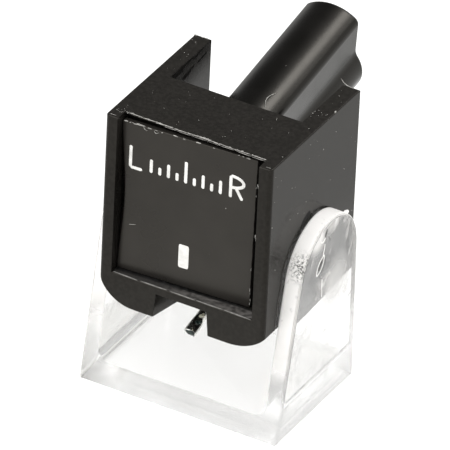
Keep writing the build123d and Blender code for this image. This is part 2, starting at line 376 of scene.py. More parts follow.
def plate_front(x, marks):
    """How far back the face plate's front lies: a plane that goes evenly deeper from left to right."""
    along = (x - PLATE_LOW[0]) / (PLATE_HIGH[0] - PLATE_LOW[0])
    return FRONT + marks.depth_left + along * (marks.depth_right - marks.depth_left)


# Waver of the face plate's right edge: millimetres, radians over the height, and start in radians
WAVER = ((0.012, 41, 0.0), (0.010, 97, 1.0))


def plate_sheet(marks, across=36, up=40, corner=5):
    """Loose plate with round edges.

    Its section is a long outline with round corners, an inner line and a radius along outward directions,
    and it is carried across the plate. At both ends the radius shrinks along a quarter circle. The left edge
    is hollowed by a half sine wave to the power 1.5, and the right edge slants and wavers. Each place across
    is stretched between the two edges.
    """
    r = marks.edge
    foot, top = PLATE_LOW[2] + r, PLATE_HIGH[2] - r
    rise = np.linspace(foot, top, up)
    swing = np.linspace(0, np.pi / 2, corner)
    back = marks.thick - r
    near, far = np.full(up, r), np.full(up, back)
    corners = ((r, top, np.pi), (back, top, np.pi / 2), (back, foot, 0.0), (r, foot, -np.pi / 2))
    arcs = [np.stack([np.full(corner, off), np.full(corner, z), start - swing], axis=-1)
            for off, z, start in corners]
    front = np.stack([near, rise, np.full(up, np.pi)], axis=-1)[1:-1]
    rear = np.stack([far, rise[::-1], np.zeros(up)], axis=-1)[1:-1]
    line = np.concatenate([front, arcs[0], arcs[1], rear, arcs[2], arcs[3]])
    out = np.stack([np.cos(line[:, 2]), np.sin(line[:, 2])], axis=-1)
    end = r * (1 - np.cos(swing[:-1]))
    shrink = r * np.sin(swing[:-1])
    width = PLATE_HIGH[0] - PLATE_LOW[0]
    place = np.concatenate([end, np.linspace(r, width - r, across), width - end[::-1]])
    radius = np.concatenate([shrink, np.full(across, r), shrink[::-1]])
    section = line[None, :, :2] + radius[:, None, None] * out
    off, z = section[..., 0], section[..., 1]
    t = np.clip((PLATE_HIGH[2] - z) / (PLATE_HIGH[2] - PLATE_LOW[2]), 0, 1)
    left = PLATE_LOW[0] + marks.hollow * np.sin(np.pi * t) ** 1.5
    waver = sum(size * MM * np.sin(waves * t + start) for size, waves, start in WAVER)
    right = PLATE_HIGH[0] - marks.trim_top + t * (marks.trim_top - marks.trim_foot) + waver
    x = left + place[:, None] / width * (right - left)
    rings = np.stack([x, plate_front(x, marks) + off, z], axis=-1)[None]
    return rings, rings[:, 0].mean(axis=1), rings[:, -1].mean(axis=1)


def cheek_outside(z, guard):
    """How far from the middle a cheek's outer face lies at a height: it leans out evenly to its top."""
    return GUARD_HIGH[0] - guard.lean * (1 - z / GUARD_HIGH[2])


def cheek_edge(count):
    """Places and outward directions along a cheek's edge.

    The edge runs straight up the front, round the hinge and down the rear. The straight stretches run from
    the foot's corners and touch the circle about the hinge. Places are spread evenly by length, from a little
    above the foot.
    """
    centre = np.array(HINGE[1:])
    radius = GUARD_HIGH[2] - centre[1]
    angles, runs = [], []
    for corner, side in ((GUARD_LOW[1], 1), (GUARD_HIGH[1], -1)):
        arm = centre - (corner, GUARD_LOW[2])
        reach = np.hypot(*arm)
        angles.append(math.atan2(arm[1], arm[0]) + side * math.asin(radius / reach) + side * math.pi / 2)
        runs.append(math.sqrt(reach**2 - radius**2))
    turn_by = angles[0] - angles[1]
    total = runs[0] + radius * turn_by + runs[1]
    above_foot = 1.5 * MM
    gone = np.linspace(above_foot, total - above_foot, count)
    angle = angles[0] - np.clip((gone - runs[0]) / radius, 0, turn_by)
    out = np.stack([np.cos(angle), np.sin(angle)], axis=-1)
    along = np.stack([out[:, 1], -out[:, 0]], axis=-1)
    slip = np.minimum(gone - runs[0], 0) + np.maximum(gone - runs[0] - radius * turn_by, 0)
    return centre + radius * out + slip[:, None] * along, out


def frost_and_light_edges(guard, count=150, across=14):
    """Thin white skins over both cheeks' edges, frost whose white is also painted light caught in the edges:
    a profile across the cheek carried along its edge.

    The profile is flat from the inner face and follows the round of the outer edge. Its back is the same line
    set in by the skin's depth, so each skin is a closed band.
    """
    place, out = cheek_edge(count)
    outside = cheek_outside(place[:, 1], guard)[:, None]
    inside = GUARD_HIGH[0] - guard.cheek
    share_across = np.linspace(0.02, 0.985, across)
    x = inside + (outside - inside) * share_across
    into_round = np.clip(x - outside + guard.edge, 0, guard.edge)
    dip = np.sqrt(guard.edge**2 - into_round**2) - guard.edge
    front = np.stack([x, dip + guard.skin / 3], axis=-1)
    back = np.stack([x, dip - guard.skin], axis=-1)[:, ::-1]
    profile = np.concatenate([front, back], axis=1)
    flat = place[:, None] + out[:, None] * profile[..., 1:]
    right = np.concatenate([profile[..., :1], flat], axis=-1)
    rings = np.stack([right, right[:, ::-1] * (-1, 1, 1)])
    return rings, rings[:, 0].mean(axis=1), rings[:, -1].mean(axis=1)


def hazy_faces(guard, count=150):
    """Thin skins over both cheeks' outer faces.

    The edge line is drawn in by a margin. One ring lies a skin's depth behind the face and one a quarter of
    that in front of it, and fans to the middle of each ring close the skin.
    """
    place, out = cheek_edge(count)
    flat = place - out * guard.margin
    flat = np.stack([flat, flat])
    depth = np.array([-guard.skin, guard.skin / 4])
    outside = np.minimum(cheek_outside(flat[..., 1], guard) + depth[:, None], GUARD_HIGH[0])
    right = np.concatenate([outside[..., None], flat], axis=-1)
    rings = np.stack([right, right[:, ::-1] * (-1, 1, 1)])
    middle = rings.mean(axis=2)
    middle[..., 0] = np.sign(middle[..., 0]) * (cheek_outside(middle[..., 2], guard) + depth)
    return rings, middle[:, 0], middle[:, 1]


# Shader groups

def add_node(tree, kind, inputs=None, **settings):
    """New shader node with its settings and the plain values of its inputs."""
    node = tree.nodes.new(kind)
    for key, value in settings.items():
        setattr(node, key, value)
    for key, value in (inputs or {}).items():
        node.inputs[key].default_value = value
    return node


def math_node(tree, operation, a, b=None, clamp=False):
    """Math node between two sockets or numbers; returns its output."""
    node = add_node(tree, "ShaderNodeMath", operation=operation, use_clamp=clamp)
    for slot, value in enumerate((a, b)):
        if isinstance(value, bpy.types.NodeSocket):
            tree.links.new(value, node.inputs[slot])
        elif value is not None:
            node.inputs[slot].default_value = value
    return node.outputs[0]


def ranged(tree, value, low, high, to_low, to_high, smooth=True):
    """Map Range from low..high to to_low..to_high; returns its output."""
    node = add_node(tree, "ShaderNodeMapRange", interpolation_type="SMOOTHSTEP" if smooth else "LINEAR")
    tree.links.new(value, node.inputs["Value"])
    for slot, number in zip(("From Min", "From Max", "To Min", "To Max"), (low, high, to_low, to_high)):
        node.inputs[slot].default_value = number
    return node.outputs["Result"]


def mixed(tree, factor, a, b):
    """Colour mix; a and b are sockets or colours; returns its output."""
    node = add_node(tree, "ShaderNodeMix", data_type="RGBA")
    tree.links.new(factor, node.inputs[0])
    for slot, value in ((6, a), (7, b)):
        if isinstance(value, bpy.types.NodeSocket):
            tree.links.new(value, node.inputs[slot])
        else:
            node.inputs[slot].default_value = (*value, 1.0)
    return node.outputs[2]


def object_place(tree):
    """Object coordinates of a material or group."""
    return tree.nodes.new("ShaderNodeTexCoord").outputs["Object"]


def object_axes(tree):
    """Object coordinates of a material, with one output for each axis."""
    split = tree.nodes.new("ShaderNodeSeparateXYZ")
    tree.links.new(object_place(tree), split.inputs[0])
    return split.outputs


def beside(tree, spot, near, reach, most=1.0):
    """Mask that falls from a most to nothing between two distances from a place."""
    away = add_node(tree, "ShaderNodeVectorMath", {1: spot}, operation="DISTANCE")
    tree.links.new(object_place(tree), away.inputs[0])
    return ranged(tree, away.outputs["Value"], near, reach, most, 0.0)


def toned(tree, inputs, mask, colours, roughness):
    """Base Color and Roughness that both go from a first to a second value over one mask."""
    tree.links.new(mixed(tree, mask, *colours), inputs["Base Color"])
    tree.links.new(ranged(tree, mask, 0.0, 1.0, *roughness), inputs["Roughness"])


def start_group(name, inputs, outputs):
    """Empty shader group with number sockets; returns it, its inside ends and its object coordinates."""
    group = bpy.data.node_groups.new(name, "ShaderNodeTree")
    for socket, value in inputs.items():
        made = group.interface.new_socket(name=socket, in_out="INPUT", socket_type="NodeSocketFloat")
        made.default_value = value
    for socket in outputs:
        group.interface.new_socket(name=socket, in_out="OUTPUT", socket_type="NodeSocketFloat")
    source = group.nodes.new("NodeGroupInput")
    target = group.nodes.new("NodeGroupOutput")
    return group, source.outputs, target.inputs, object_place(group)


def noise(tree, place, scale, detail, roughness=0.5):
    """Noise texture; scale is a number or a socket; returns its value."""
    made = add_node(tree, "ShaderNodeTexNoise", {"Detail": detail, "Roughness": roughness})
    tree.links.new(place, made.inputs["Vector"])
    if isinstance(scale, bpy.types.NodeSocket):
        tree.links.new(scale, made.inputs["Scale"])
    else:
        made.inputs["Scale"].default_value = scale
    return made.outputs["Fac"]


def mould_grain_group():
    """Spark-eroded mould skin: a fine height, and a slow cloud of tone."""
    scales = {"Grain": 14000.0, "Cloud": 260.0}
    group, ins, outs, place = start_group("Mould grain", scales, ("Height", "Tone"))
    fine = noise(group, place, ins["Grain"], 4.0, 0.6)
    broad = noise(group, place, math_node(group, "MULTIPLY", ins["Grain"], 0.22), 2.0)
    group.links.new(math_node(group, "ADD", fine, math_node(group, "MULTIPLY", broad, 0.6)), outs["Height"])
    group.links.new(ranged(group, noise(group, place, ins["Cloud"], 3.0), 0.3, 0.7, 0.0, 1.0), outs["Tone"])
    return group


def lint_group():
    """Fine dust: round specks, one in each of a random share of cells."""
    group, ins, outs, place = start_group("Lint", {"Cells": 1500.0, "Share": 0.12, "Size": 0.16}, ("Mask",))
    cells = add_node(group, "ShaderNodeTexVoronoi", {"Randomness": 1.0})
    group.links.new(place, cells.inputs["Vector"])
    group.links.new(ins["Cells"], cells.inputs["Scale"])
    draw = group.nodes.new("ShaderNodeSeparateColor")
    group.links.new(cells.outputs["Color"], draw.inputs[0])
    chosen = math_node(group, "LESS_THAN", draw.outputs[0], ins["Share"])
    reach = math_node(group, "MULTIPLY", ins["Size"], math_node(group, "ADD", draw.outputs[1], 0.35))
    away = math_node(group, "DIVIDE", cells.outputs["Distance"], reach)
    near = math_node(group, "SUBTRACT", 1.0, away, clamp=True)
    speck = ranged(group, near, 0.0, 0.5, 0.0, 1.0)
    group.links.new(math_node(group, "MULTIPLY", chosen, speck), outs["Mask"])
    return group


def scuff_group():
    """Hair scratches in two directions and worn patches between them."""
    group, ins, outs, place = start_group("Scuffs", {"Scale": 900.0, "Length": 14.0}, ("Scratch", "Patch"))
    lines = []
    for tilt in ((0.35, 0.2, 0.5), (1.1, -0.4, -0.7)):
        turned = add_node(group, "ShaderNodeMapping", {"Rotation": tilt})
        group.links.new(place, turned.inputs["Vector"])
        split = group.nodes.new("ShaderNodeSeparateXYZ")
        group.links.new(turned.outputs[0], split.inputs[0])
        joined = group.nodes.new("ShaderNodeCombineXYZ")
        group.links.new(split.outputs[0], joined.inputs[0])
        group.links.new(split.outputs[1], joined.inputs[1])
        group.links.new(math_node(group, "DIVIDE", split.outputs[2], ins["Length"]), joined.inputs[2])
        streak = noise(group, joined.outputs[0], ins["Scale"], 3.0, 0.55)
        lines.append(ranged(group, streak, 0.63, 0.72, 0.0, 1.0))
    group.links.new(math_node(group, "MAXIMUM", *lines), outs["Scratch"])
    patch = noise(group, place, math_node(group, "MULTIPLY", ins["Scale"], 0.35), 5.0, 0.62)
    group.links.new(ranged(group, patch, 0.48, 0.68, 0.0, 1.0), outs["Patch"])
    return group


def shared(name):
    """Shader group of that name, built the first time it is asked for."""
    makers = {"Mould grain": mould_grain_group, "Lint": lint_group, "Scuffs": scuff_group}
    return bpy.data.node_groups.get(name) or makers[name]()


def use_group(tree, name, **values):
    """Places a shared group in a material with its own values; returns its outputs."""
    node = tree.nodes.new("ShaderNodeGroup")
    node.node_tree = shared(name)
    for key, value in values.items():
        node.inputs[key].default_value = value
    return node.outputs


def new_material(name, **sockets):
    """Empty node material with one Principled shader; returns it, its tree and the shader's inputs."""
    material = bpy.data.materials.new(name)
    material.use_nodes = True
    tree = material.node_tree
    shader = tree.nodes["Principled BSDF"]
    for key, value in sockets.items():
        shader.inputs[key.replace("_", " ")].default_value = value
    return material, tree, shader.inputs


def bump(tree, height, distance, inputs, strength=1.0):
    """Bump node of a real depth in metres on the shader's normal."""
    node = add_node(tree, "ShaderNodeBump", {"Strength": strength, "Distance": distance})
    tree.links.new(height, node.inputs["Height"])
    tree.links.new(node.outputs[0], inputs["Normal"])


def dimmed(colour_value, by):
    """Colour times a number."""
    return tuple(by * channel for channel in colour_value)


def dusty_plastic(name, looks, base, rough, ior, grain, grain_depth, lint_share, cloud=260.0, mottle=0.14):
    """Moulded plastic: mould grain in height, tone and gloss, and a scatter of fine dust."""
    material, tree, inputs = new_material(name, IOR=ior, Specular_Tint=(*looks.sheen, 1.0))
    skin = use_group(tree, "Mould grain", Grain=grain, Cloud=cloud)
    lint = use_group(tree, "Lint", Cells=2400.0, Share=lint_share, Size=0.11)
    tone = mixed(tree, skin["Tone"], dimmed(base, 1 - mottle), dimmed(base, 1 + mottle))
    tree.links.new(mixed(tree, lint["Mask"], tone, looks.dust), inputs["Base Color"])
    gloss = ranged(tree, skin["Tone"], 0.0, 1.0, rough - 0.03, rough + 0.03, smooth=False)
    gloss = math_node(tree, "ADD", gloss, math_node(tree, "MULTIPLY", lint["Mask"], 0.3), clamp=True)
    tree.links.new(gloss, inputs["Roughness"])
    height = math_node(tree, "ADD", skin["Height"], math_node(tree, "MULTIPLY", lint["Mask"], 4.0))
    bump(tree, height, grain_depth, inputs)
    return material


def uneven_matter(name, tint, rough, ior=1.45):
    """Plain crumbs, fibres, beads and marks, a little uneven in tone and gloss."""
    material, tree, inputs = new_material(name, IOR=ior)
    skin = use_group(tree, "Mould grain", Grain=30000.0, Cloud=3000.0)
    toned(tree, inputs, skin["Tone"], (dimmed(tint, 0.6), dimmed(tint, 1.1)), (rough - 0.1, rough + 0.1))
    bump(tree, skin["Height"], 1e-6, inputs)
    return material


def finish(node, material):
    """Gives a CAD node its material."""
    data = frame["nodes"][node].data
    data.materials.clear()
    data.materials.append(material)


# Operators

class STYLUS_OT_housing(bpy.types.Operator):
    """Finish the moulded housing and draw the marks inside its left arm, darkened as painted shade"""
    bl_idname = "stylus.housing"
    bl_label = "Housing"

    # Draw marks inside the left arm, darker and duller than the moulding as painted shade: control points as
    # millimetres behind the front face and below the deck
    DRAWN_SHADE = (
        ((8.00, 0.26), (9.20, 0.24), (10.4, 0.20), (11.3, 0.17)),
        ((7.85, 0.44), (8.60, 0.42), (9.30, 0.38), (10.1, 0.33)),
        ((8.15, 0.62), (8.80, 0.56), (9.30, 0.50), (9.70, 0.46)),
        ((11.2, 0.34), (11.7, 0.28), (12.1, 0.22), (12.7, 0.16)),
        ((9.50, 1.30), (10.1, 1.22), (10.8, 1.12), (11.5, 1.00)),
        ((9.75, 1.50), (10.2, 1.42), (10.6, 1.35), (11.0, 1.28)),
        ((11.9, 1.06), (12.4, 0.98), (12.8, 0.90), (13.4, 0.80)),
    )
    ARM_THICK = 1.5  # millimetres

    def execute(self, context):
        looks = context.scene.stylus_finishes
        dust = context.scene.stylus_dust
        # Shallow strokes, darker and less glossy than the moulding: painted shade along draw lines
        marks = strokes_aside(self.DRAWN_SHADE, dust.drawn, dust.skin, self.ARM_THICK * MM - WALL)
        add_piece("draw_marks_shade", *closed_shells(*marks), "housing", "black_moulding",
                  uneven_matter("Draw marks, painted shade", dimmed(looks.moulding, 0.8), 0.8, 1.12))
        finish("housing", dusty_plastic("Black moulding", looks, looks.moulding, looks.moulding_rough, 1.27,
                                        16000.0, 1.6e-6, 0.025, cloud=3400.0, mottle=0.22))
        return {"FINISHED"}


class STYLUS_OT_face_plate(bpy.types.Operator):
    """Finish the face plate and fill its marks"""
    bl_idname = "stylus.face_plate"
    bl_label = "Face plate"

    def execute(self, context):
        looks = context.scene.stylus_finishes
        marks = context.scene.stylus_marks
        satin = dusty_plastic("Satin plate", looks, looks.plate, looks.plate_rough, 1.40,
                              22000.0, 0.6e-6, 0.02)
        sheet = add_piece("face_plate_sheet", *closed_shells(*plate_sheet(marks)),
                          "housing", "face_plate", satin)
        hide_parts("face_plate")
        white = self.fill_material(looks)
        strokes = flat_strokes(self.scale_curves(marks), marks.stroke, marks.proud)
        bar = rounded_slab(marks.bar_width, marks.bar_height, marks.proud)
        for part in bar:
            part += (marks.bar_middle, 0.0, DECK - marks.bar_drop)
        for name, parts in (("face_marks", strokes), ("cue_bar", bar)):
            for part in parts:
                part[..., 1] += plate_front(part[..., 0], marks)
            add_piece(name, *closed_shells(*parts), "housing", "face_plate", white)
        return {"FINISHED"}

    def fill_material(self, looks):
        """White enamel fill, a little uneven."""
        material, tree, inputs = new_material("White fill", IOR=1.45)
        skin = use_group(tree, "Mould grain", Grain=9000.0, Cloud=1800.0)
        toned(tree, inputs, skin["Tone"], (dimmed(looks.marks, 0.8), looks.marks), (0.42, 0.58))
        bump(tree, skin["Height"], 2e-6, inputs)
        return material

    def scale_curves(self, marks):
        """Control points of the strokes: L at the left end, R at the right end, and ticks between them."""
        tall, wide = marks.height, 0.52 * marks.height
        foot = DECK - marks.drop - tall / 2
        left, stem = marks.left, marks.right - wide
        top, bowl, bulge = foot + tall, foot + 0.48 * tall, stem + 1.45 * wide
        lines = [
            straight((left, top), (left, foot)),
            straight((left, foot), (left + wide, foot)),
            straight((stem, foot), (stem, top)),
            [(stem, top), (bulge, top), (bulge, bowl), (stem, bowl)],
            straight((stem + 0.45 * wide, bowl), (stem + wide, foot)),
        ]
        rises = (0.62, 0.36, 0.62, 0.36, 1.0, 0.36, 0.62, 0.36, 0.62)
        ticks = np.linspace(left + 1.75 * wide, marks.right - 1.85 * wide, len(rises))
        lines += [straight((at, foot), (at, foot + rise * tall)) for at, rise in zip(ticks, rises)]
        return np.array(lines)


class STYLUS_OT_plug(bpy.types.Operator):
    """Finish the plug"""
    bl_idname = "stylus.plug"
    bl_label = "Plug"

    def execute(self, context):
        looks = context.scene.stylus_finishes
        finish("plug", dusty_plastic("Black plug", looks, looks.stalk, looks.stalk_rough, 1.38,
                                     9000.0, 0.8e-6, 0.03))
        return {"FINISHED"}


class STYLUS_OT_moving_system(bpy.types.Operator):
    """Finish the cantilever, tip, bush, magnet and sleeve"""
    bl_idname = "stylus.moving_system"
    bl_label = "Moving system"

    # Cream and dark greenish beads on the cantilever: place across, behind the front face and below the deck,
    # and three half sizes
    CREAM = ((0.22, 3.20, 17.88, 0.22, 0.24, 0.13), (0.20, 1.75, 18.42, 0.07, 0.09, 0.05))
    DARK_BEADS = ((0.24, 2.58, 18.17, 0.25, 0.27, 0.14), (0.0, 1.68, 18.66, 0.36, 0.08, 0.24))

    def execute(self, context):
        looks = context.scene.stylus_finishes
        finish("cantilever", self.metal("Drawn aluminium", looks.aluminium, 0.16, 0.10))
        finish("armature_sleeve", self.metal("Turned brass", looks.brass, 0.24, 0.14))
        finish("armature_magnet", self.metal("Ground magnet", looks.magnet, 0.34, 0.18))
        finish("damper_bush", dusty_plastic("Damper rubber", looks, looks.rubber, 0.72, 1.5,
                                            12000.0, 4e-6, 0.03))
        finish("stylus_tip", self.gem(looks))
        rng = np.random.default_rng(5)
        for name, tint, rough, spots in (("cream_bead", looks.cream, 0.45, self.CREAM),
                                         ("dark_green_bead", looks.dark_bead, 0.2, self.DARK_BEADS)):
            spots = np.array(spots)
            beads = lumps(placed(spots[:, :3]), spots[:, 3:] * MM, rng, 9, 14)
            add_piece(name, *closed_shells(*beads), "needle", "rubber", uneven_matter(name, tint, rough))
        return {"FINISHED"}

    def metal(self, name, base, rough, spread):
        """Metal with drawing lines along its length and a patchy gloss."""
        material, tree, inputs = new_material(name, Metallic=1.0)
        skin = use_group(tree, "Mould grain", Grain=6000.0, Cloud=1500.0)
        worn = use_group(tree, "Scuffs", Scale=9000.0, Length=40.0)
        tree.links.new(mixed(tree, skin["Tone"], dimmed(base, 0.72), base), inputs["Base Color"])
        gloss = math_node(tree, "ADD", ranged(tree, skin["Tone"], 0.0, 1.0, rough, rough + spread),
                          math_node(tree, "MULTIPLY", worn["Scratch"], 0.12))
        tree.links.new(gloss, inputs["Roughness"])
        bump(tree, worn["Scratch"], 0.8e-6, inputs)
        return material

    def gem(self, looks):
        """Ground diamond: clear, with a faint cloud and fine grinding lines."""
        material, tree, inputs = new_material("Ground diamond", IOR=2.42, Transmission_Weight=1.0)
        skin = use_group(tree, "Mould grain", Grain=20000.0, Cloud=6000.0)
        toned(tree, inputs, skin["Tone"], (dimmed(looks.diamond, 0.9), looks.diamond), (0.04, 0.14))
        bump(tree, skin["Height"], 0.3e-6, inputs)
        return material


class STYLUS_OT_guard(bpy.types.Operator):
    """Finish the clear guard, frost its edges with painted edge light, haze its faces and add its scars"""
    bl_idname = "stylus.guard"
    bl_label = "Guard"

    # Scars on the right cheek: control points as millimetres behind the front face and below the deck
    SCARS = (
        ((6.41, 9.66), (6.36, 10.0), (6.28, 10.4), (6.19, 10.77)),
        ((6.25, 12.88), (6.28, 13.4), (6.32, 14.0), (6.35, 14.63)),
        ((6.42, 10.71), (5.60, 10.85), (5.20, 11.55), (5.29, 12.16)),
        ((6.42, 10.71), (6.45, 11.50), (5.95, 12.10), (5.29, 12.16)),
        ((6.51, 8.06), (5.55, 8.10), (5.40, 8.90), (5.87, 9.28)),
        ((5.87, 9.28), (6.05, 9.40), (6.25, 9.30), (6.41, 9.10)),
    )
    # Flattened bubbles in the right cheek, and a near-black stroke on the housing past it: painted shade of
    # the gap beside the hinge
    BUBBLES = (
        ((6.12, 11.02), (5.95, 11.25), (5.70, 11.55), (5.50, 11.75)),
        ((6.70, 8.42), (6.60, 8.60), (6.45, 8.85), (6.35, 9.02)),
    )
    GAP_SHADE = (((5.42, 8.30), (5.68, 7.74), (6.14, 7.45), (6.78, 7.48)),)
    # White fog on the right cheek, in metres: place, where it starts to thin, reach, and most cover
    FOG = (
        ((0.0091, -0.0012, 0.0168), 0.0005, 0.0019, 0.9),
        ((0.0091, 0.0012, 0.0174), 0.0005, 0.0016, 0.9),
        ((0.0091, 0.0022, 0.0112), 0.0005, 0.0030, 0.5),
    )
    # Grease on the right cheek's front, in metres: place, where it starts to thin, and reach
    GREASE = ((0.0089, -0.0029, 0.0149), 0.0004, 0.0017)
    # Heights in metres where the foot ends and where the cheeks have all their wear
    FOOT = (0.004, 0.010)
    # Painted shade on the left foot in metres: across and up, from where it is full to where it is gone
    SHADE_ACROSS = (-0.0088, -0.0070)
    SHADE_UP = (0.0050, 0.0066)
    # Nub of the moulding's gate: place and three half sizes in millimetres
    NUB = (8.92, 10.02, 8.80)
    NUB_SIZE = (0.15, 0.30, 0.24)

    def execute(self, context):
        looks = context.scene.stylus_finishes
        guard = context.scene.stylus_guard
        finish("stylus_guard", self.clear_material(looks))
        frost_and_edge_light = self.frost_and_edge_light_material(looks)
        haze = self.haze_material(looks)
        film = self.bubble_material(looks)
        add_piece("guard_haze", *closed_shells(*hazy_faces(guard)), "guard", "clear_plastic", haze)
        # Frosted skin on the cheeks' edges; its white is partly painted light caught in the edges
        add_piece("guard_frost_and_light", *closed_shells(*frost_and_light_edges(guard)), "guard", "clear_plastic", frost_and_edge_light)
        for name, curves, width, material in (("guard_bubbles", self.BUBBLES, guard.bubble, film),
                                              ("guard_scars", self.SCARS, guard.scar, frost_and_edge_light)):
            strokes = strokes_aside(curves, width, guard.skin)
            for part in strokes:
                part[..., 0] = np.minimum(part[..., 0] + cheek_outside(part[..., 2], guard), GUARD_HIGH[0])
            add_piece(name, *closed_shells(*strokes), "guard", "clear_plastic", material)
        # Painted shade: a near-black stroke on the housing wall, where the gap behind the cheek lies in
        # shadow
        gap = strokes_aside(self.GAP_SHADE, guard.gap, guard.skin, WALL)
        add_piece("hinge_gap_shade", *closed_shells(*gap), "housing", "black_moulding",
                  uneven_matter("Hinge painted shade", dimmed(looks.stalk, 0.2), 0.8))
        nub = lumps(placed([self.NUB]), np.array([self.NUB_SIZE]) * MM, np.random.default_rng(3), 9, 14)
        add_piece("gate_nub", *closed_shells(*nub), "guard", "clear_plastic", frost_and_edge_light)
        return {"FINISHED"}

    def bubble_material(self, looks):
        """Trapped bubbles: a dark film, thicker and thinner in clouds."""
        material, tree, inputs = new_material("Bubble", IOR=1.3)
        cloud = use_group(tree, "Mould grain", Cloud=4000.0)
        toned(tree, inputs, cloud["Tone"], (dimmed(looks.smudge, 0.5), looks.smudge), (0.3, 0.5))
        tree.links.new(ranged(tree, cloud["Tone"], 0.0, 1.0, 0.75, 0.5), inputs["Alpha"])
        return material

    def clear_material(self, looks):
        """Clear moulding: scratches that end above the foot, a hazier foot, and a left foot tinted grey as
        painted shade.
        """
        material, tree, inputs = new_material("Clear plastic", IOR=1.49, Transmission_Weight=0.90)
        skin = use_group(tree, "Mould grain", Grain=2600.0, Cloud=420.0)
        worn = use_group(tree, "Scuffs", Scale=1100.0, Length=18.0)
        across, _, up = object_axes(tree)
        scratch = math_node(tree, "MULTIPLY", worn["Scratch"], ranged(tree, up, *self.FOOT, 0.0, 1.0))
        tint = mixed(tree, worn["Patch"], looks.clear, dimmed(looks.clear, 0.99))
        # Painted shade: the left foot's tint goes grey
        left_shade = math_node(tree, "MULTIPLY", ranged(tree, across, *self.SHADE_ACROSS, 1.0, 0.0),
                         ranged(tree, up, *self.SHADE_UP, 1.0, 0.0))
        tree.links.new(mixed(tree, left_shade, tint, looks.clear_left_shade), inputs["Base Color"])
        haze = ranged(tree, up, *self.FOOT, looks.clear_foot, looks.clear_rough)
        haze = math_node(tree, "ADD", haze, math_node(tree, "MULTIPLY", skin["Tone"], 0.05))
        haze = math_node(tree, "ADD", haze, math_node(tree, "MULTIPLY", scratch, 0.16))
        tree.links.new(haze, inputs["Roughness"])
        height = math_node(tree, "ADD", math_node(tree, "MULTIPLY", skin["Tone"], 3.0), scratch)
        bump(tree, height, 1.2e-6, inputs)
        return material

    def haze_material(self, looks):
        """Rubbed outer faces: white patches and slanting scratches, thinner towards the foot, and fog."""
        material, tree, inputs = new_material("Rubbed face", IOR=1.45)
        worn = use_group(tree, "Scuffs", Scale=620.0, Length=9.0)
        cloud = use_group(tree, "Mould grain", Cloud=700.0)
        toned(tree, inputs, worn["Patch"], (dimmed(looks.frost_and_edge_light, 0.9), looks.frost_and_edge_light), (0.5, 0.7))
        rubbed = math_node(tree, "MULTIPLY", worn["Patch"], ranged(tree, cloud["Tone"], 0.0, 1.0, 0.06, 0.62))
        scratched = math_node(tree, "MULTIPLY", worn["Scratch"], 0.45)
        cover = math_node(tree, "MAXIMUM", rubbed, scratched)
        thin = ranged(tree, object_axes(tree)[2], 0.003, 0.011, 0.15, 1.0)
        cover = math_node(tree, "MULTIPLY", cover, thin)
        for spot in self.FOG:
            cover = math_node(tree, "MAXIMUM", cover, beside(tree, *spot))
        tree.links.new(cover, inputs["Alpha"])
        bump(tree, worn["Patch"], 2e-6, inputs)
        return material

    def frost_and_edge_light_material(self, looks):
        """Scraped white edge, also painted light caught in the edges, that clears towards the foot, with
        grease on the right cheek's front.
        """
        material, tree, inputs = new_material("Frosted edge, painted edge light", IOR=1.45)
        flecks = ranged(tree, noise(tree, object_place(tree), 5200.0, 4.0, 0.7), 0.45, 0.58, 0.0, 1.0)
        grease = math_node(tree, "MULTIPLY", beside(tree, *self.GREASE), flecks)
        worn = use_group(tree, "Scuffs", Scale=1400.0, Length=6.0)
        white = mixed(tree, worn["Patch"], looks.frost_and_edge_light, dimmed(looks.frost_and_edge_light, 0.93))
        tree.links.new(mixed(tree, grease, white, looks.smudge), inputs["Base Color"])
        tree.links.new(ranged(tree, worn["Patch"], 0.0, 1.0, 0.45, 0.65), inputs["Roughness"])
        fade = ranged(tree, object_axes(tree)[2], *self.FOOT, 0.0, 0.98)
        streaks = ranged(tree, worn["Scratch"], 0.0, 1.0, 1.0, 0.82)
        tree.links.new(math_node(tree, "MULTIPLY", fade, streaks), inputs["Alpha"])
        bump(tree, worn["Patch"], 4e-6, inputs)
        return material


